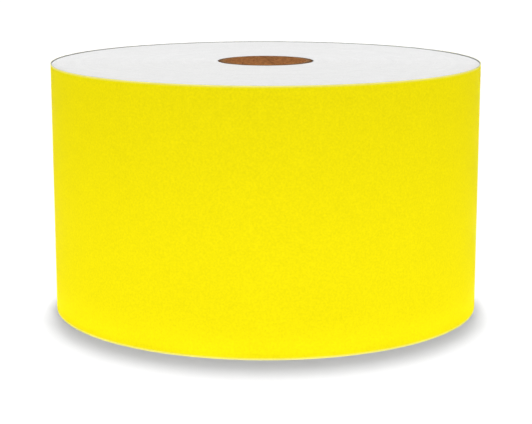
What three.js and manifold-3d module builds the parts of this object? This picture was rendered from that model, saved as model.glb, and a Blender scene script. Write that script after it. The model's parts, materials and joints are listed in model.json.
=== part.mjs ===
// A roll of sign vinyl: yellow adhesive film on a paper release liner, wound film side out on
// a spiral-wound kraft paper core with a 1 inch bore.
//
// Millimetres, +Z up. The roll stands on end, with its core axis on Z and its lower end face
// on z = 0. The web is wound anticlockwise seen from above, and its free end is on the +Y side.
// Angles along the web are in degrees from +X and keep counting, so 360 less is one turn in.

import * as THREE from 'three';
import { mergeVertices } from 'three/addons/utils/BufferGeometryUtils.js';
import Module from 'manifold-3d';

const wasm = await Module();
wasm.setup();

// Roll and core.
const ROLL_RADIUS = 66; // to the film's outer face at the free end: a 5.2 in roll
const ROLL_WIDTH = 76.2; // a 3 in web
const CORE_BORE_RADIUS = 12.7; // fits a 1 in spindle
const CORE_RADIUS = 14.5;
const TURNS = 181.2; // of web, from the core to the free end

// Web.
const FILM_THICKNESS = 0.1;
const ADHESIVE_THICKNESS = 0.022;
const LINER_THICKNESS = 0.148;
const LAYER_GAP = 0.004; // air between layers that touch

// Core plies, each a strip of kraft paper wound as a helix whose edges butt at a seam.
const PLY_COUNT = 4;
const PLY_GLUE_GAP = 0.02;
const SEAM_LEAD = 60.6; // height that a seam climbs in one turn, for a 50 mm wide strip
const SEAM_WIDTH = 0.3;
const SEAM_STAGGER = 97; // degrees from one ply's seam to the next one's
const START_TAPE_THICKNESS = 0.08;
const START_TAPE_CLEARANCE = 0.005;
const START_TAPE_SPAN = [40, 120]; // round the core, under the first of the web

// Free end, which bends at its hinge lines, with a tip whose film peels and a closing tab.
const FREE_END = 120;
const BEND_ANGLES = [30, 50, 70, 90];
const PEEL_ANGLE = 105;
const FREE_END_CLEARANCE = 0.03; // between the free end and the turn under it
const FREE_END_INSET = 0.2; // keeps its edges off what the roll stands on
const HINGE_GAP = 0.05; // degrees, on each side of a hinge line
const OUTER_TURN_OVERLAP = 10; // degrees by which the outer turn passes its own start
const TAB_THICKNESS = 0.08;
const TAB_HEIGHT = 25;
const TAB_REACH = 10; // degrees, on each side of the free end
const TAB_STEP_DOWN = 5; // degrees in which the tab comes down to the turn under the free end

// Facets.
const WEB_STEP = 5; // degrees
const CORE_STEP = 10; // degrees

const UP = new THREE.Vector3(0, 0, 1);
const LAMINATE_THICKNESS = FILM_THICKNESS + ADHESIVE_THICKNESS + LINER_THICKNESS + 2 * LAYER_GAP;
const WEB_PITCH = LAMINATE_THICKNESS + LAYER_GAP;
const OUTER_TURN_END = BEND_ANGLES[0];
const OUTER_TURN_START = OUTER_TURN_END - 360 - OUTER_TURN_OVERLAP;
const WEB_START = FREE_END - 360 * TURNS;

const MATERIALS = {
  film: new THREE.MeshStandardMaterial({ color: 0xfde910, roughness: 0.45, metalness: 0 }),
  adhesive: new THREE.MeshStandardMaterial({ color: 0xe9e4c8, roughness: 0.25, metalness: 0 }),
  liner: new THREE.MeshStandardMaterial({ color: 0xefeeec, roughness: 0.7, metalness: 0 }),
  edge: new THREE.MeshStandardMaterial({ color: 0xeeedec, roughness: 0.9, metalness: 0 }),
  kraft: new THREE.MeshStandardMaterial({ color: 0x95643c, roughness: 0.95, metalness: 0 }),
  tape: new THREE.MeshStandardMaterial({ color: 0xf3f2ee, roughness: 0.35, metalness: 0 }),
};

// The web's layers, each by the depth of its outer face below the film's outer face.
const LAYERS = [
  { name: 'film', depth: 0, thickness: FILM_THICKNESS },
  { name: 'adhesive', depth: FILM_THICKNESS + LAYER_GAP, thickness: ADHESIVE_THICKNESS },
  { name: 'liner', depth: LAMINATE_THICKNESS - LINER_THICKNESS, thickness: LINER_THICKNESS },
];

// Radius of the film's outer face, which grows by one pitch in each turn.
function filmFace(angle) {
  return ROLL_RADIUS - (WEB_PITCH * (FREE_END - angle)) / 360;
}

// Radius of the film's outer face on the free end, which lies just clear of the turn under it.
function freeFilmFace(angle) {
  return filmFace(angle) + FREE_END_CLEARANCE;
}

function polar(radius, angle) {
  const turn = THREE.MathUtils.degToRad(angle);
  return new THREE.Vector2(radius * Math.cos(turn), radius * Math.sin(turn));
}

// The angles at which a curve from start to end has points: its ends and every whole step.
function stations(start, end, step) {
  const angles = [start];
  for (let angle = (Math.floor(start / step) + 1) * step; angle < end; angle += step) {
    angles.push(angle);
  }
  angles.push(end);
  return angles;
}

// The points of a curve round the axis, whose radius is a function of the angle.
function curvePoints(start, end, step, radiusAt) {
  return stations(start, end, step).map((angle) => polar(radiusAt(angle), angle));
}

function extrude(shape, height, base) {
  const geometry = new THREE.ExtrudeGeometry(shape, { depth: height, bevelEnabled: false });
  return geometry.translate(0, 0, base);
}

// A strip lying round the axis, with its outer face at a radius that is a function of the angle.
function strip({ start, end, step, outerFace, thickness, height, base }) {
  const outer = curvePoints(start, end, step, outerFace);
  const inner = curvePoints(start, end, step, (angle) => outerFace(angle) - thickness);
  return extrude(new THREE.Shape([...outer, ...inner.reverse()]), height, base);
}

function tube(innerRadius, outerRadius, height) {
  const circle = (radius) => curvePoints(0, 360, CORE_STEP, () => radius).slice(0, -1);
  const shape = new THREE.Shape(circle(outerRadius));
  shape.holes.push(new THREE.Path(circle(innerRadius)));
  return extrude(shape, height, 0);
}

function toSolid(geometry) {
  const bare = new THREE.BufferGeometry();
  bare.setAttribute('position', geometry.getAttribute('position'));
  bare.setIndex(geometry.getIndex());
  const merged = mergeVertices(bare);
  return new wasm.Manifold(new wasm.Mesh({
    numProp: 3,
    vertProperties: Float32Array.from(merged.getAttribute('position').array),
    triVerts: Uint32Array.from(merged.getIndex().array),
  }));
}

function toGeometry(solid) {
  const cut = solid.getMesh();
  const geometry = new THREE.BufferGeometry();
  geometry.setAttribute('position', new THREE.BufferAttribute(cut.vertProperties, 3));
  geometry.setIndex(new THREE.BufferAttribute(cut.triVerts, 1));
  geometry.computeVertexNormals();
  return geometry;
}

const roll = new THREE.Group();

function addPiece(name, geometry, material) {
  const piece = new THREE.Mesh(geometry, MATERIALS[material].clone());
  piece.name = name;
  roll.add(piece);
}

// The slot between a ply's edges: a thin upright box, twisted about Z into a helix.
function seamSlot(innerRadius, outerRadius, phase) {
  const margin = 1;
  const height = ROLL_WIDTH + 2 * margin;
  const radialDepth = outerRadius - innerRadius + 2 * margin;
  const steps = Math.ceil(((height / SEAM_LEAD) * 360) / CORE_STEP);
  const slot = new THREE.BoxGeometry(radialDepth, SEAM_WIDTH, height, 1, 1, steps);
  slot.translate((innerRadius + outerRadius) / 2, 0, ROLL_WIDTH / 2);
  const position = slot.getAttribute('position');
  const corner = new THREE.Vector3();
  for (let i = 0; i < position.count; i += 1) {
    corner.fromBufferAttribute(position, i);
    const turn = THREE.MathUtils.degToRad(phase) + (corner.z / SEAM_LEAD) * 2 * Math.PI;
    corner.applyAxisAngle(UP, turn);
    position.setXYZ(i, corner.x, corner.y, corner.z);
  }
  return slot;
}

function addCore() {
  const wall = CORE_RADIUS - CORE_BORE_RADIUS;
  const plyThickness = (wall - (PLY_COUNT - 1) * PLY_GLUE_GAP) / PLY_COUNT;
  for (let ply = 0; ply < PLY_COUNT; ply += 1) {
    const innerRadius = CORE_BORE_RADIUS + ply * (plyThickness + PLY_GLUE_GAP);
    const outerRadius = innerRadius + plyThickness;
    const whole = toSolid(tube(innerRadius, outerRadius, ROLL_WIDTH));
    const slot = toSolid(seamSlot(innerRadius, outerRadius, ply * SEAM_STAGGER));
    addPiece(`core_ply_${ply + 1}`, toGeometry(whole.subtract(slot)), 'kraft');
  }
}

// Double-sided tape on the core, which holds the web's inner end.
function addStartTape() {
  const [start, end] = START_TAPE_SPAN;
  const outerRadius = CORE_RADIUS + START_TAPE_CLEARANCE + START_TAPE_THICKNESS;
  addPiece('core_start_tape', strip({
    start,
    end,
    step: CORE_STEP,
    outerFace: () => outerRadius,
    thickness: START_TAPE_THICKNESS,
    height: ROLL_WIDTH,
    base: 0,
  }), 'tape');
}

// Every turn between the core and the outer turn, as one ring. Its outline is the spiral's
// first turn inside and last turn outside, each closed by a step as high as the web is thick.
function addWoundWeb() {
  const outer = curvePoints(OUTER_TURN_START - 360, OUTER_TURN_START, WEB_STEP, filmFace);
  const linerFace = (angle) => filmFace(angle) - LAMINATE_THICKNESS;
  const inner = curvePoints(WEB_START, WEB_START + 360, WEB_STEP, linerFace);
  const shape = new THREE.Shape(outer);
  shape.holes.push(new THREE.Path(inner));
  addPiece('wound_web', extrude(shape, ROLL_WIDTH, 0), 'edge');
}

function addOuterTurn() {
  for (const { name, depth, thickness } of LAYERS) {
    addPiece(`outer_turn_${name}`, strip({
      start: OUTER_TURN_START + HINGE_GAP,
      end: OUTER_TURN_END - HINGE_GAP,
      step: WEB_STEP,
      outerFace: (angle) => filmFace(angle) - depth,
      thickness,
      height: ROLL_WIDTH,
      base: 0,
    }), name);
  }
}

function addFreeLayer(pieceName, { name, depth, thickness }, start, end) {
  addPiece(pieceName, strip({
    start: start + HINGE_GAP,
    end,
    step: WEB_STEP,
    outerFace: (angle) => freeFilmFace(angle) - depth,
    thickness,
    height: ROLL_WIDTH - 2 * FREE_END_INSET,
    base: FREE_END_INSET,
  }), name);
}

// The free end is cut into segments at its hinge lines. The last segment's liner runs to the
// end of the web, and its film and adhesive stop at the line where the tip peels.
function addFreeEnd() {
  BEND_ANGLES.forEach((start, index) => {
    const isLast = index === BEND_ANGLES.length - 1;
    const nextHinge = isLast ? PEEL_ANGLE : BEND_ANGLES[index + 1];
    for (const layer of LAYERS) {
      const end = isLast && layer.name === 'liner' ? FREE_END : nextHinge - HINGE_GAP;
      addFreeLayer(`free_end_${index + 1}_${layer.name}`, layer, start, end);
    }
  });
}

function addPeelTip() {
  for (const layer of LAYERS.filter(({ name }) => name !== 'liner')) {
    addFreeLayer(`peel_tip_${layer.name}`, layer, PEEL_ANGLE, FREE_END);
  }
}

// The tape that keeps the roll closed: its base is on the peeling tip, and its flap comes down
// from there to the turn under the free end.
function addClosingTab() {
  const size = {
    step: WEB_STEP,
    thickness: TAB_THICKNESS,
    height: TAB_HEIGHT,
    base: (ROLL_WIDTH - TAB_HEIGHT) / 2,
  };
  const lift = FREE_END_CLEARANCE + LAYER_GAP + TAB_THICKNESS;
  const high = (angle) => filmFace(angle) + lift;
  const low = (angle) => filmFace(angle - 360) + lift;
  const flapFace = (angle) => {
    const share = Math.min((angle - FREE_END) / TAB_STEP_DOWN, 1);
    return THREE.MathUtils.lerp(high(angle), low(angle), share);
  };
  const base = { start: FREE_END - TAB_REACH, end: FREE_END - HINGE_GAP, outerFace: high };
  const flap = { start: FREE_END + HINGE_GAP, end: FREE_END + TAB_REACH, outerFace: flapFace };
  addPiece('closing_tab_base', strip({ ...size, ...base }), 'tape');
  addPiece('closing_tab_flap', strip({ ...size, ...flap }), 'tape');
}

addCore();
addStartTape();
addWoundWeb();
addOuterTurn();
addFreeEnd();
addPeelTip();
addClosingTab();

export default roll;
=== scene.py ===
# A roll of sign vinyl: yellow film on a paper liner, wound film side out on a kraft board core.
# Metres, +Z up, in the CAD model's frame. The roll stands on z = 0 with its core on the Z axis.
# Angles along the web are in degrees from +X and keep counting, so 360 less is one turn in.
import json
import math

import bpy
import numpy as np
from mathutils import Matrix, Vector


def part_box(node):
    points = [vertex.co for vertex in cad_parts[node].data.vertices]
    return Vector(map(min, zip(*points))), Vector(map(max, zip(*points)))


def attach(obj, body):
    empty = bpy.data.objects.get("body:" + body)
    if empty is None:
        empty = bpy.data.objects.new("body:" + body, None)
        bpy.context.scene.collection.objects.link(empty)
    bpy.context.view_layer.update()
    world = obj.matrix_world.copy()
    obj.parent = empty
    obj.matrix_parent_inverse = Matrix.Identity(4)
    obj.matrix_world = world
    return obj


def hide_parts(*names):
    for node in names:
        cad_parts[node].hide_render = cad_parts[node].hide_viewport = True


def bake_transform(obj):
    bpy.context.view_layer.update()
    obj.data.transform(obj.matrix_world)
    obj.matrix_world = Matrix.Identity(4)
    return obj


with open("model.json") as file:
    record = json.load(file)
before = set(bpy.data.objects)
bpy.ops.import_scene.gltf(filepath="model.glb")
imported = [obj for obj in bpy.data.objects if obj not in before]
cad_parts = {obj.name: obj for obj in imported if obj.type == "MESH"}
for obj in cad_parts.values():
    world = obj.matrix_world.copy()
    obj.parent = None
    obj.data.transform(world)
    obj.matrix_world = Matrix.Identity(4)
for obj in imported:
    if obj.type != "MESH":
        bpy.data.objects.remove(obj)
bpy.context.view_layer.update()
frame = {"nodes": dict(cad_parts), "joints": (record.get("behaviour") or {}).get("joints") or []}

MM = 0.001
SEED = 7
RANDOM = np.random.default_rng(SEED)

# Driving dimensions ------------------------------------------------------------------------

# The web's layers, as the CAD model has them: each one's depth under the film's face, and its
# thickness.
FILM_THICKNESS = 0.1 * MM
ADHESIVE_THICKNESS = 0.022 * MM
LINER_THICKNESS = 0.148 * MM
LAYER_GAP = 0.004 * MM
LAMINATE_THICKNESS = FILM_THICKNESS + ADHESIVE_THICKNESS + LINER_THICKNESS + 2 * LAYER_GAP
LAYERS = {
    "film": (0, FILM_THICKNESS),
    "adhesive": (FILM_THICKNESS + LAYER_GAP, ADHESIVE_THICKNESS),
    "liner": (LAMINATE_THICKNESS - LINER_THICKNESS, LINER_THICKNESS),
}

# The winding. The outer turn starts a little way under itself.
WEB_PITCH = LAMINATE_THICKNESS + LAYER_GAP
WEB_TURNS = 181.2
OUTER_TURN_OVERLAP = 10
FREE_END_CLEARANCE = 0.03 * MM

# The core's plies, whose cut ends the knife rounded, and the arc of tape that holds the web.
PLY_COUNT = 4
PLY_GLUE_GAP = 0.02 * MM
SEAM_LEAD = 60.6 * MM
SEAM_WIDTH = 0.3 * MM
SEAM_STAGGER = 97
CUT_ROUNDING = 0.05 * MM
START_TAPE_ARC = (40, 120)

# The closing tab, which a toothed cutter cut. The teeth are an angle deep.
TAB_THICKNESS = 0.08 * MM
TAB_REACH = 10
TAB_STEP_DOWN = 5
TOOTH_PITCH = 1.6 * MM
TOOTH_DEPTH = 0.45

# How far the wound turns' edges lie under the end faces. The last few turns dip.
EDGE_WANDER = 0.012 * MM
EDGE_WANDER_LIMIT = 0.04 * MM
EDGE_GROOVE = 0.05 * MM
EDGE_DIP = 0.4 * MM
DIP_TURNS = 9

# How far through its bend a piece of the free end is where it starts to lift, and where it meets
# the piece before it. From 0 to 1.
BEND_AT_LIFT = 0.4
BEND_AT_MEETING = 0.317

# The length of film in which the peeled tip bends over.
PEEL_BEND = 5 * MM

# Mesh steps, in degrees along the web and in metres across it.
WOUND_STEP = 3
PLY_STEP = 2.5
OUTER_STEP = 1.25
FREE_STEP = 0.5
HEIGHT_STEP = 4 * MM
PLY_HEIGHT_STEP = 1.3 * MM
STEPS_PER_TURN = round(360 / WOUND_STEP)

# Faces that meet at more than this angle, in degrees, have a sharp edge between them.
SHARP_ANGLE = 35

# Places from the frame ---------------------------------------------------------------------

PIVOTS = {joint["name"]: Vector(joint["pos_m"]) for joint in frame["joints"]}
BEND_JOINTS = ("free_end_lift", "free_end_bend_2", "free_end_bend_3", "free_end_bend_4")


def pivot_angle(joint_name):
    """The angle round the axis at which a hinge line lies."""
    pivot = PIVOTS[joint_name]
    return round(math.degrees(math.atan2(pivot.y, pivot.x)), 1)


def heights_of(node):
    """The heights of a CAD node's base and top."""
    low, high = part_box(node)
    return low.z, high.z


def radii_of(node):
    """How near to the axis a CAD node's corners come, and how far from it they reach."""
    radii = [math.hypot(corner.co.x, corner.co.y) for corner in frame["nodes"][node].data.vertices]
    return min(radii), max(radii)


LIFT_ANGLE = pivot_angle("free_end_lift")
PEEL_ANGLE = pivot_angle("film_peel")
FREE_END = pivot_angle("tab_peel")
OUTER_TURN_START = LIFT_ANGLE - 360 - OUTER_TURN_OVERLAP
WEB_START = FREE_END - 360 * WEB_TURNS

# At this angle the outer film reaches the front of the CAD model's box.
FRONT_ANGLE = -90
FRONT_RADIUS = -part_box("outer_turn_film")[0].y
BORE_RADIUS = radii_of("core_ply_1")[0]
CORE_RADIUS = radii_of(f"core_ply_{PLY_COUNT}")[1]
WEB_HEIGHTS = heights_of("outer_turn_film")
FREE_HEIGHTS = heights_of("free_end_1_film")
TAB_HEIGHTS = heights_of("closing_tab_base")
ROLL_HEIGHT = WEB_HEIGHTS[1]


def film_face(angle):
    """Radius of the film's outer face, which grows by one pitch in each turn."""
    return FRONT_RADIUS + WEB_PITCH * (angle - FRONT_ANGLE) / 360


def ring_points(radius, angle, height):
    """Points at a radius, an angle and a height, each a number or an array that fits the others."""
    turn = np.radians(angle)
    radius, turn, height = np.broadcast_arrays(radius, turn, height)
    return np.stack([radius * np.cos(turn), radius * np.sin(turn), height], axis=-1)


def face_point(angle):
    """The point of the film's outer face at an angle, as high as the hinges are."""
    return ring_points(film_face(angle), angle, PIVOTS["film_peel"].z)


# Meshes ------------------------------------------------------------------------------------


def add_mesh(name, points, faces, material):
    """A mesh object that is smooth except at its sharp edges."""
    mesh = bpy.data.meshes.new(name)
    mesh.from_pydata(points.reshape(-1, 3).tolist(), [], faces.tolist())
    mesh.shade_smooth()
    mesh.set_sharp_from_angle(angle=math.radians(SHARP_ANGLE))
    mesh.materials.append(material)
    piece = bpy.data.objects.new(name, mesh)
    bpy.context.scene.collection.objects.link(piece)
    return piece


def quads_between(lower, upper):
    """Quads between two rows of point numbers."""
    return np.stack([lower[:-1], lower[1:], upper[1:], upper[:-1]], axis=1)


def slab(name, outer, inner, material):
    """The closed solid between two grids of points, whose rows go round the axis and whose
    columns go up, the outer grid being the one further from the axis."""
    rows, columns = outer.shape[:2]
    out = np.arange(rows * columns).reshape(rows, columns)
    back = out + rows * columns
    faces = [quads_between(out[:, j], out[:, j + 1]) for j in range(columns - 1)]
    faces += [quads_between(back[:, j + 1], back[:, j]) for j in range(columns - 1)]
    faces.append(quads_between(back[:, 0], out[:, 0]))
    faces.append(quads_between(out[:, -1], back[:, -1]))
    faces.append(quads_between(out[0], back[0]))
    faces.append(quads_between(back[-1], out[-1]))
    points = np.concatenate([outer.reshape(-1, 3), inner.reshape(-1, 3)])
    return add_mesh(name, points, np.concatenate(faces), material)


def steps_between(start, end, step):
    """Evenly spaced values from start to end, about a step apart."""
    return np.linspace(start, end, round((end - start) / step) + 1)


def arc(start, end, step):
    """Angles along an arc, as a column that fits a row of heights."""
    return steps_between(start, end, step)[:, None]


def strip(name, angles, heights, face, thickness, material):
    """A strip round the axis. The radius of its outer face is a function of the angle."""
    outer = ring_points(face(angles), angles, heights)
    inner = ring_points(face(angles) - thickness, angles, heights)
    return slab(name, outer, inner, material)


# Materials ---------------------------------------------------------------------------------


# Noise runs from 0 to 1, and most of it lies between these values. Fine grain spreads wider.
NOISE_RANGE = (0.3, 0.7)
GRAIN_RANGE = (0.28, 0.72)


class Surface:
    """A material with a Principled shader, and short ways to add pattern nodes to it. Its plain
    colour and roughness are what the shader has where no pattern replaces them."""

    def __init__(self, name, colour, roughness, specular):
        self.material = bpy.data.materials.new(name)
        self.material.use_nodes = True
        self.tree = self.material.node_tree
        self.shader = self.tree.nodes["Principled BSDF"]
        self.shader.inputs["Base Color"].default_value = (*colour, 1)
        self.shader.inputs["Roughness"].default_value = roughness
        self.shader.inputs["Specular IOR Level"].default_value = specular
        self.place = self.node("ShaderNodeTexCoord").outputs["Object"]

    def node(self, kind, **settings):
        made = self.tree.nodes.new(kind)
        for key, value in settings.items():
            setattr(made, key, value)
        return made

    def link(self, value, socket):
        """Joins an output to an input, or sets the input to a plain number or colour."""
        if isinstance(value, bpy.types.NodeSocket):
            self.tree.links.new(value, socket)
        elif isinstance(value, tuple):
            socket.default_value = (*value, 1)
        else:
            socket.default_value = value

    def math(self, operation, *values):
        made = self.node("ShaderNodeMath", operation=operation)
        for value, socket in zip(values, made.inputs):
            self.link(value, socket)
        return made.outputs[0]

    def axes(self):
        made = self.node("ShaderNodeSeparateXYZ")
        self.link(self.place, made.inputs[0])
        return made.outputs["X"], made.outputs["Y"], made.outputs["Z"]

    def radius(self):
        x, y, _ = self.axes()
        squares = self.math("ADD", self.math("MULTIPLY", x, x), self.math("MULTIPLY", y, y))
        return self.math("SQRT", squares)

    def from_edge(self):
        """Distance to the nearer of the roll's two end faces."""
        z = self.axes()[2]
        return self.math("MINIMUM", z, self.math("SUBTRACT", ROLL_HEIGHT, z))

    def noise(self, size, detail=2.0, stretch=(1, 1, 1)):
        """Noise from 0 to 1 whose features are about `size` metres across, and smaller along an
        axis whose stretch is over 1."""
        mapping = self.node("ShaderNodeMapping")
        mapping.inputs["Scale"].default_value = stretch
        self.link(self.place, mapping.inputs["Vector"])
        made = self.node("ShaderNodeTexNoise")
        made.inputs["Scale"].default_value = 1 / size
        made.inputs["Detail"].default_value = detail
        self.link(mapping.outputs[0], made.inputs["Vector"])
        return made.outputs["Fac"]

    def random_for(self, number):
        """A random value from 0 to 1 for each whole number."""
        made = self.node("ShaderNodeTexWhiteNoise", noise_dimensions="1D")
        self.link(number, made.inputs["W"])
        return made.outputs["Value"]

    def bands_along(self, number, frequency):
        """Noise from 0 to 1 that changes along a number."""
        made = self.node("ShaderNodeTexNoise", noise_dimensions="1D")
        made.inputs["Scale"].default_value = frequency
        self.link(number, made.inputs["W"])
        return made.outputs["Fac"]

    def spread(self, value, low, high, start=0.0, end=1.0):
        """Moves a value that goes from start to end into the range low to high."""
        made = self.node("ShaderNodeMapRange")
        settings = {"Value": value, "From Min": start, "From Max": end, "To Min": low, "To Max": high}
        for name, setting in settings.items():
            self.link(setting, made.inputs[name])
        return made.outputs["Result"]

    def ramp(self, value, *stops):
        """Colours along a value, given as (position, colour) pairs."""
        made = self.node("ShaderNodeValToRGB")
        elements = made.color_ramp.elements
        while len(elements) < len(stops):
            elements.new(0.5)
        for element, (position, colour) in zip(elements, stops):
            element.position = position
            element.color = (*colour, 1)
        self.link(value, made.inputs["Fac"])
        return made.outputs["Color"]

    def mottled(self, noise, colour, darkest, palest, noise_range=NOISE_RANGE):
        """A colour times a factor that goes from darkest to palest with the noise."""
        low, high = noise_range
        return self.ramp(noise, (low, shade(colour, darkest)), (high, shade(colour, palest)))

    def mix(self, share, first, second, blend_type="MIX"):
        made = self.node("ShaderNodeMix", data_type="RGBA", blend_type=blend_type)
        inputs = {socket.identifier: socket for socket in made.inputs}
        self.link(share, inputs["Factor_Float"])
        self.link(first, inputs["A_Color"])
        self.link(second, inputs["B_Color"])
        return next(socket for socket in made.outputs if socket.identifier == "Result_Color")

    def dim(self, colour, factor):
        """A colour times a factor that varies over the surface."""
        return self.mix(1.0, colour, factor, blend_type="MULTIPLY")

    def colour(self, value):
        self.link(value, self.shader.inputs["Base Color"])

    def roughness(self, value):
        self.link(value, self.shader.inputs["Roughness"])

    def bump(self, height, depth, strength):
        made = self.node("ShaderNodeBump")
        made.inputs["Distance"].default_value = depth
        made.inputs["Strength"].default_value = strength
        self.link(height, made.inputs["Height"])
        self.link(made.outputs["Normal"], self.shader.inputs["Normal"])


def shade(colour, factor):
    """A paler or darker colour."""
    return tuple(min(1.0, channel * factor) for channel in colour)


def make_film():
    """Calendered vinyl: an even, almost matt face with a fine grain, and paler at its slit edges: stress
    whitening and a painted highlight.
    """
    yellow = (0.915, 0.79, 0.004)
    # The pale colour of the slit edges, which is partly stress whitening and partly a painted highlight on
    # the rims.
    whitened_and_highlit = (0.95, 0.91, 0.36)
    surface = Surface("yellow film", yellow, roughness=0.45, specular=0.001)
    grain = surface.noise(0.55 * MM, detail=3)
    grained = surface.mottled(grain, yellow, 0.945, 1.055, noise_range=GRAIN_RANGE)
    # Paler towards either end face, which is partly stress whitening and partly a painted highlight along
    # the rims.
    slit = surface.spread(surface.from_edge(), 0.75, 0, start=0.05 * MM, end=0.7 * MM)
    surface.colour(surface.mix(slit, grained, whitened_and_highlit))
    surface.roughness(surface.spread(grain, 0.36, 0.54))
    surface.bump(grain, 0.012 * MM, strength=0.35)
    return surface.material


def make_adhesive():
    """Tacky grey adhesive, glossy, with the shallow ripple that it takes from the liner."""
    grey = (0.30, 0.30, 0.29)
    surface = Surface("grey adhesive", grey, roughness=0.25, specular=0.4)
    ripple = surface.noise(1.4 * MM, detail=3)
    surface.colour(surface.mottled(ripple, grey, 0.9, 1.08))
    surface.roughness(surface.spread(ripple, 0.16, 0.34))
    surface.bump(ripple, 0.02 * MM, strength=0.5)
    return surface.material


def make_liner():
    """Coated release paper, with the faint cloudiness of its fibres, and darker near its slit edges:
    painted shade.
    """
    white = (0.80, 0.80, 0.78)
    surface = Surface("coated liner", white, roughness=0.4, specular=0.35)
    fibres = surface.noise(2.2 * MM, detail=4)
    cloudy = surface.mottled(fibres, white, 0.96, 1.03)
    # Painted shade: the liner darkens near its slit edges, so the outer turn's rim shows as a dark line.
    painted_rim_shade = surface.spread(surface.from_edge(), 0.5, 1, start=0.3 * MM, end=0.6 * MM)
    surface.colour(surface.dim(cloudy, painted_rim_shade))
    surface.roughness(surface.spread(fibres, 0.34, 0.48))
    surface.bump(fibres, 0.01 * MM, strength=0.4)
    return surface.material


def turns_along_web(surface):
    """How many turns along the web a place on the end face lies. It is a whole number at the
    film's outer face, and that number is the same all along one turn."""
    x, y, _ = surface.axes()
    turns_out = surface.math("DIVIDE", surface.math("SUBTRACT", surface.radius(), FRONT_RADIUS), WEB_PITCH)
    turned = surface.math("DIVIDE", surface.math("ARCTAN2", y, x), 2 * math.pi)
    return surface.math("ADD", surface.math("SUBTRACT", turns_out, turned), FRONT_ANGLE / 360)


def make_web_edge():
    """The wound end face: in each turn, the cut edge of the liner and then that of the film. The
    turns differ a little in tone, one by one and in bands where the winding tension changed."""
    paper = (0.785, 0.785, 0.785)
    film = (0.76, 0.758, 0.752)
    tension_changes_per_turn = 0.12
    surface = Surface("web edges", paper, roughness=0.85, specular=0.2)
    along_web = turns_along_web(surface)
    in_turn = surface.math("FRACT", along_web)
    is_film = surface.math("GREATER_THAN", in_turn, 1 - FILM_THICKNESS / WEB_PITCH)
    whole_turn = surface.math("FLOOR", along_web)
    grain = surface.noise(0.6 * MM, detail=3)
    smears = surface.noise(2.5 * MM)
    bands = surface.bands_along(whole_turn, tension_changes_per_turn)
    variations = (
        surface.spread(smears, -0.02, 0.02, *NOISE_RANGE),
        surface.spread(surface.random_for(whole_turn), -0.012, 0.012),
        surface.spread(bands, -0.01, 0.01, *NOISE_RANGE),
    )
    tone = surface.spread(grain, 0.955, 1.045, *GRAIN_RANGE)
    for variation in variations:
        tone = surface.math("ADD", tone, variation)
    surface.colour(surface.dim(surface.mix(is_film, paper, film), tone))
    surface.bump(grain, 0.02 * MM, strength=0.5)
    return surface.material


def make_kraft():
    """Brown kraft board with long fibres and dark flecks. Its cut end is darker, most of all towards
    the outside: painted shade for the dark line where the core meets the web."""
    brown = (0.365, 0.176, 0.064)
    fleck = (0.55, 0.5, 0.45)
    no_fleck = (1, 1, 1)
    surface = Surface("kraft board", brown, roughness=0.9, specular=0.2)
    fibres = surface.noise(1.1 * MM, detail=5, stretch=(1, 1, 3))
    flecks = surface.noise(0.35 * MM)
    pulp = surface.ramp(fibres, (0.3, shade(brown, 0.75)), (0.5, brown), (0.72, shade(brown, 1.28)))
    flecked = surface.dim(pulp, surface.ramp(flecks, (0.28, fleck), (0.4, no_fleck)))
    is_cut = surface.spread(surface.from_edge(), 1, 0, start=0.5 * CUT_ROUNDING, end=CUT_ROUNDING)
    # Painted shade: the cut end darkens towards the core's outer rim, where it meets the web.
    painted_core_rim_shade = surface.spread(surface.radius(), 0.85, 0.25, start=BORE_RADIUS, end=CORE_RADIUS)
    surface.colour(surface.mix(is_cut, flecked, surface.dim(flecked, painted_core_rim_shade)))
    surface.roughness(surface.spread(fibres, 0.8, 1.0))
    surface.bump(fibres, 0.05 * MM, strength=0.6)
    return surface.material


def make_tape():
    """White paper tape, creped across its length."""
    white = (0.82, 0.82, 0.79)
    surface = Surface("paper tape", white, roughness=0.55, specular=0.3)
    crepe = surface.noise(0.7 * MM, detail=3, stretch=(3, 3, 0.6))
    surface.colour(surface.mottled(crepe, white, 0.92, 1.04))
    surface.roughness(surface.spread(crepe, 0.45, 0.65))
    surface.bump(crepe, 0.03 * MM, strength=0.6)
    return surface.material


def make_floor_surface():
    return Surface("pale floor", (0.97, 0.97, 0.97), roughness=1.0, specular=0.0).material


def make_backdrop_surface():
    surface = Surface("white backdrop", (0, 0, 0), roughness=1.0, specular=0.0)
    surface.shader.inputs["Emission Color"].default_value = (1, 1, 1, 1)
    surface.shader.inputs["Emission Strength"].default_value = 1.0
    return surface.material


MATERIALS = {
    "film": make_film(),
    "adhesive": make_adhesive(),
    "liner": make_liner(),
    "web_edge": make_web_edge(),
    "kraft": make_kraft(),
    "tape": make_tape(),
}


# The roll's pieces -------------------------------------------------------------------------


def stand_for(piece, node, slot):
    """The piece takes a CAD node's place. The film passes on no light, or the white floor round
    the roll would turn yellow."""
    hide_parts(node)
    piece.visible_diffuse = slot != "film"


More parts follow.
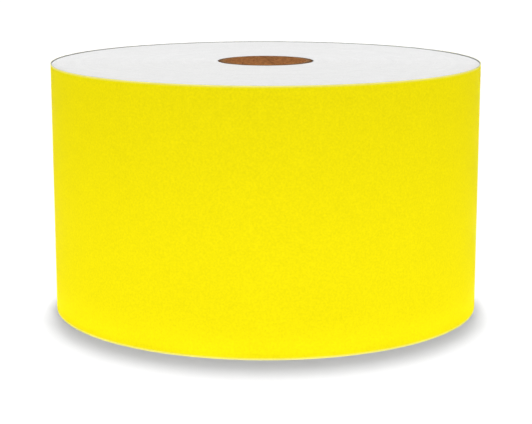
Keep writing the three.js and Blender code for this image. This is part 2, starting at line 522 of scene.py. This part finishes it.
def add_ply(ply):
    """A strip of kraft paper wound as a helix, whose two edges meet at a seam."""
    thickness = (CORE_RADIUS - BORE_RADIUS - (PLY_COUNT - 1) * PLY_GLUE_GAP) / PLY_COUNT
    inner = BORE_RADIUS + ply * (thickness + PLY_GLUE_GAP)
    outer = inner + thickness
    low, high = WEB_HEIGHTS
    between_cuts = steps_between(low + CUT_ROUNDING, high - CUT_ROUNDING, PLY_HEIGHT_STEP)
    heights = np.concatenate([[low], between_cuts, [high]])
    rounding = np.zeros(len(heights))
    rounding[[0, -1]] = CUT_ROUNDING
    seam = math.degrees(SEAM_WIDTH / outer)
    seam_to_seam = arc(seam / 2, 360 - seam / 2, PLY_STEP)
    angles = ply * SEAM_STAGGER + 360 * heights / SEAM_LEAD + seam_to_seam
    piece = slab(
        f"core_board_ply_{ply + 1}",
        ring_points(outer - rounding, angles, heights),
        ring_points(inner + rounding, angles, heights),
        MATERIALS["kraft"],
    )
    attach(piece, "roll")
    stand_for(piece, f"core_ply_{ply + 1}", "kraft")


def add_start_tape():
    """The double-sided tape that holds the web's start to the core."""
    inner, outer = radii_of("core_start_tape")

    def face(angle):
        return np.full_like(angle, outer)

    angles = arc(*START_TAPE_ARC, WOUND_STEP)
    heights = steps_between(*heights_of("core_start_tape"), HEIGHT_STEP)
    piece = strip("start_tape", angles, heights, face, outer - inner, MATERIALS["tape"])
    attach(piece, "roll")
    stand_for(piece, "core_start_tape", "tape")


def edge_depths(count):
    """How deep the web's cut edge lies under the end face, at `count` steps along the web. It
    differs from turn to turn, changes smoothly along each, and grows over the last turns."""
    turns = np.arange(count) * WOUND_STEP / 360
    each = np.abs(RANDOM.normal(0, EDGE_WANDER, round(turns[-1]) + 2)).clip(0, EDGE_WANDER_LIMIT)
    dip = np.clip((turns - turns[-1]) / DIP_TURNS + 1, 0, 1)
    return np.interp(turns, np.arange(len(each)), each) + EDGE_DIP * dip**2


def wound_end(first, angles, height, inward):
    """One end face of the wound turns, as one spiral ridge between grooves: its points, its
    quads, and its rims at the core and at the outer turn. Its points are numbered from `first`.
    The rest of the web is above it where inward is 1, and below it where inward is -1."""
    count = len(angles) - STEPS_PER_TURN
    depths = edge_depths(len(angles))
    groove_radii = film_face(angles) - LAMINATE_THICKNESS
    ridge_radii = groove_radii[:count] + WEB_PITCH / 2
    groove_points = ring_points(groove_radii, angles, height + inward * (depths + EDGE_GROOVE))
    ridge_points = ring_points(ridge_radii, angles[:count], height + inward * depths[:count])
    groove = first + np.arange(len(angles))
    ridge = groove[-1] + 1 + np.arange(count)
    rising = quads_between(groove[:count], ridge)
    falling = quads_between(ridge, groove[STEPS_PER_TURN:])
    quads = np.concatenate([rising, falling])[:, ::inward]
    core_rim = np.concatenate([groove[: STEPS_PER_TURN + 1], ridge[:1], groove[:1]])
    outer_rim = np.concatenate([groove[count - 1 :], ridge[-1:], groove[count - 1 : count]])
    return np.concatenate([groove_points, ridge_points]), quads, core_rim, outer_rim


def add_wound_web():
    """All the turns inside the outer one. Two walls join the end faces, one at the core and one
    under the outer turn. Each wall has a radial step, where the web starts or where it ends."""
    count = round((OUTER_TURN_START - WEB_START) / WOUND_STEP)
    step = (OUTER_TURN_START - WEB_START) / count
    angles = WEB_START + np.arange(count + STEPS_PER_TURN + 1) * step
    low, high = WEB_HEIGHTS
    top, top_quads, top_inner, top_outer = wound_end(0, angles, high, inward=-1)
    base, base_quads, base_inner, base_outer = wound_end(len(top), angles, low, inward=1)
    walls = (quads_between(top_inner, base_inner), quads_between(base_outer, top_outer))
    points = np.concatenate([top, base])
    faces = np.concatenate([top_quads, base_quads, *walls])
    piece = add_mesh("wound_turns", points, faces, MATERIALS["web_edge"])
    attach(piece, "roll")
    stand_for(piece, "wound_web", "web_edge")


def add_layer(name, layer, angles, heights, clearance=0.0):
    """One layer of the web along some of its outer turn."""
    depth, thickness = LAYERS[layer]

    def face(angle):
        return film_face(angle) + clearance - depth

    return strip(name, angles, heights, face, thickness, MATERIALS[layer])


def add_outer_turn():
    """The last turn of the web, as far as the line where the free end lifts."""
    angles = arc(OUTER_TURN_START, LIFT_ANGLE, OUTER_STEP)
    heights = steps_between(*WEB_HEIGHTS, HEIGHT_STEP)
    pieces = []
    for layer in LAYERS:
        piece = add_layer(f"{layer}_outer_turn", layer, angles, heights)
        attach(piece, "roll")
        stand_for(piece, f"outer_turn_{layer}", layer)
        pieces.append(piece)
    return pieces


def add_free_end():
    """The web between the lift line and the film's tip, in pieces that meet half way from one hinge
    to the next. The liner goes on under the tip."""
    hinges = [pivot_angle(name) for name in BEND_JOINTS]
    meetings = [(hinge + next_hinge) / 2 for hinge, next_hinge in zip(hinges, hinges[1:])]
    edges = [LIFT_ANGLE, *meetings, PEEL_ANGLE]
    heights = steps_between(*FREE_HEIGHTS, HEIGHT_STEP)
    pieces = []
    for number, (start, end) in enumerate(zip(edges, edges[1:]), start=1):
        body = f"free_end_{number}"
        bend_at_start = BEND_AT_LIFT if start == LIFT_ANGLE else BEND_AT_MEETING
        bend_at_end = 1 if end == PEEL_ANGLE else 1 - BEND_AT_MEETING
        whole_bend = (face_point(end) - face_point(start)) / (bend_at_end - bend_at_start)
        bend_start = face_point(start) - bend_at_start * whole_bend
        for layer in LAYERS:
            layer_end = FREE_END if layer == "liner" and end == PEEL_ANGLE else end
            angles = arc(start, layer_end, FREE_STEP)
            piece = add_layer(f"{layer}_free_end_{number}", layer, angles, heights, FREE_END_CLEARANCE)
            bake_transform(piece)
            stand_for(piece, f"{body}_{layer}", layer)
            pieces.append(piece)
    return pieces


def bend_with_peel(piece):
    """Bakes the piece's place into its mesh. The end of its short bend past the peel line is worked out
    but not used.
    """
    bend_end = PEEL_ANGLE + math.degrees(PEEL_BEND / FRONT_RADIUS)
    face_point(bend_end)
    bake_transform(piece)


def add_peel_tip():
    """The film and its adhesive past the peel line, on the liner's last stretch."""
    angles = arc(PEEL_ANGLE, FREE_END, FREE_STEP)
    heights = steps_between(*FREE_HEIGHTS, HEIGHT_STEP)
    pieces = []
    for layer in ("film", "adhesive"):
        piece = add_layer(f"{layer}_peel_tip", layer, angles, heights, FREE_END_CLEARANCE)
        bend_with_peel(piece)
        stand_for(piece, f"peel_tip_{layer}", layer)
        pieces.append(piece)
    return pieces


def tab_face(angle):
    """The tab's outer face: level on the film's tip, and past the free end coming down in a few
    degrees to the turn beneath."""
    lift = FREE_END_CLEARANCE + LAYER_GAP + TAB_THICKNESS
    share = np.clip((angle - FREE_END) / TAB_STEP_DOWN, 0, 1)
    return film_face(angle) + lift - share * WEB_PITCH


def add_closing_tab():
    """A square of tape, half on the film's tip and half on the turn beneath."""
    low, high = TAB_HEIGHTS
    half_teeth = np.arange(2 * round((high - low) / TOOTH_PITCH) + 1)
    heights = low + (high - low) * half_teeth / half_teeth[-1]
    reach = TAB_REACH - TOOTH_DEPTH * (1 - half_teeth % 2)
    along = arc(0, 1, FREE_STEP / TAB_REACH)
    base_angles = FREE_END - (1 - along) * reach
    base = strip("tab_base", base_angles, heights, tab_face, TAB_THICKNESS, MATERIALS["tape"])
    bend_with_peel(base)
    stand_for(base, "closing_tab_base", "tape")
    flap_angles = FREE_END + along * reach
    flap = strip("tab_flap_tape", flap_angles, heights, tab_face, TAB_THICKNESS, MATERIALS["tape"])
    bend_end = face_point(FREE_END + TAB_STEP_DOWN)
    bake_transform(flap)
    stand_for(flap, "closing_tab_flap", "tape")
    return [base, flap]


# The studio --------------------------------------------------------------------------------

# The camera, in front of the roll: its place, the degrees by which it looks down, and its lens
# and sensor in Blender's millimetres. All of them were fitted to the roll's outline.
CAMERA_PLACE = (0.16 * MM, -473.1 * MM, 124.7 * MM)
CAMERA_PITCH = 11.497
CAMERA_LENS = 103.75
SENSOR_WIDTH = 36

# The floor, which lies just under the roll so that their faces don't meet, and its backdrop.
STUDIO_RADIUS = 6.0
BACKDROP_HEIGHT = 4.0
BACKDROP_SIDES = 60
FLOOR_DROP = 0.02 * MM

SKY_BRIGHTNESS = 0.25

# A long softbox overhead, as bands of soft sunlight: how many degrees behind the zenith each one
# is, and its share of the light. It hangs a little to the rear, so the shadow falls to the front.
SOFTBOX_IRRADIANCE = 2.82
SOFTBOX_BANDS = ((-3.5, 0.27), (5, 0.18), (9, 0.30), (13.5, 0.25))
BAND_WIDTH = 7

# Rings of panels that stand on the floor round the roll: radius, height and brightness. The
# softbox lights the roll's rear too, so the panels grow dimmer towards the rear, by this share.
RING_PANELS = 12
RINGS = {
    "tall_panel": (250 * MM, 90 * MM, 0.75),
    "low_panel": (130 * MM, 13.5 * MM, 2.0),
    "foot_panel": (72 * MM, 3 * MM, 1.34),
}
REAR_PANEL_DIMMING = 0.45

# Small lights down the bore, where the softbox hardly reaches.
BORE_LIGHT_POWER = 0.0050
BORE_LIGHT_SIZE = 2 * MM
BORE_LIGHT_HEIGHTS = (20 * MM, 44 * MM, 66 * MM)


def add_camera():
    data = bpy.data.cameras.new("camera")
    data.lens = CAMERA_LENS
    data.sensor_width = SENSOR_WIDTH
    data.clip_start = 10 * MM
    camera = bpy.data.objects.new("camera", data)
    camera.location = CAMERA_PLACE
    camera.rotation_euler = (math.radians(90 - CAMERA_PITCH), 0, 0)
    bpy.context.scene.collection.objects.link(camera)
    bpy.context.scene.camera = camera


def add_studio():
    """A round white floor, and round it a backdrop that only the camera sees."""
    rim = ring_points(STUDIO_RADIUS, 360 * np.arange(BACKDROP_SIDES) / BACKDROP_SIDES, -FLOOR_DROP)
    around = np.arange(BACKDROP_SIDES + 1) % BACKDROP_SIDES
    floor = add_mesh("floor", rim, around[None, :-1], make_floor_surface())
    wall_points = np.concatenate([rim, rim + (0, 0, BACKDROP_HEIGHT)])
    wall_faces = quads_between(around, around + BACKDROP_SIDES)
    backdrop = add_mesh("backdrop", wall_points, wall_faces, make_backdrop_surface())
    backdrop.visible_diffuse = False
    backdrop.visible_glossy = False
    backdrop.visible_shadow = False


def add_light(kind, name, place, aim, energy, **settings):
    """A light at a place, pointing at another, that the camera doesn't see."""
    data = bpy.data.lights.new(name, kind)
    data.energy = energy
    for key, value in settings.items():
        setattr(data, key, value)
    light = bpy.data.objects.new(name, data)
    light.location = place
    light.rotation_mode = "QUATERNION"
    light.rotation_quaternion = (Vector(aim) - Vector(place)).to_track_quat("-Z", "Y")
    light.visible_camera = False
    bpy.context.scene.collection.objects.link(light)
    return light


def add_sky():
    world = bpy.data.worlds.new("sky")
    world.use_nodes = True
    sky = world.node_tree.nodes["Background"]
    sky.inputs["Color"].default_value = (1, 1, 1, 1)
    sky.inputs["Strength"].default_value = SKY_BRIGHTNESS
    bpy.context.scene.world = world


def add_softbox():
    for number, (tilt, share) in enumerate(SOFTBOX_BANDS, start=1):
        above = (0, math.sin(math.radians(tilt)), math.cos(math.radians(tilt)))
        power = share * SOFTBOX_IRRADIANCE
        add_light("SUN", f"softbox_band_{number}", above, (0, 0, 0), power, angle=math.radians(BAND_WIDTH))


def add_ring(name, radius, height, brightness, receivers):
    """A ring of panels that face the roll. They light only its outside, so that the shadow which
    it casts on the floor stays."""
    width = 2 * radius * math.tan(math.pi / RING_PANELS)
    front_power = brightness * math.pi * width * height
    panel_shape = {"shape": "RECTANGLE", "size": width, "size_y": height}
    aim = (0, 0, height / 2)
    for panel in range(RING_PANELS):
        angle = 360 * (panel + 0.5) / RING_PANELS
        place = ring_points(radius, angle, height / 2)
        towards_rear = (1 + math.sin(math.radians(angle))) / 2
        power = front_power * (1 - REAR_PANEL_DIMMING * towards_rear)
        light = add_light("AREA", f"{name}_{panel + 1}", place, aim, power, **panel_shape)
        light.light_linking.receiver_collection = receivers


def add_rings(outside_pieces):
    receivers = bpy.data.collections.new("the roll's outside")
    for piece in outside_pieces:
        receivers.objects.link(piece)
    for name, (radius, height, brightness) in RINGS.items():
        add_ring(name, radius, height, brightness, receivers)


def add_bore_lights():
    for number, height in enumerate(BORE_LIGHT_HEIGHTS, start=1):
        place = (0, 0, height)
        name = f"bore_light_{number}"
        add_light("POINT", name, place, (0, 0, 0), BORE_LIGHT_POWER, shadow_soft_size=BORE_LIGHT_SIZE)


for ply_number in range(PLY_COUNT):
    add_ply(ply_number)
add_start_tape()
add_wound_web()
outside = add_outer_turn() + add_free_end() + add_peel_tip() + add_closing_tab()
add_studio()
add_sky()
add_softbox()
add_rings(outside)
add_bore_lights()
add_camera()
bpy.context.scene.view_settings.view_transform = "Standard"
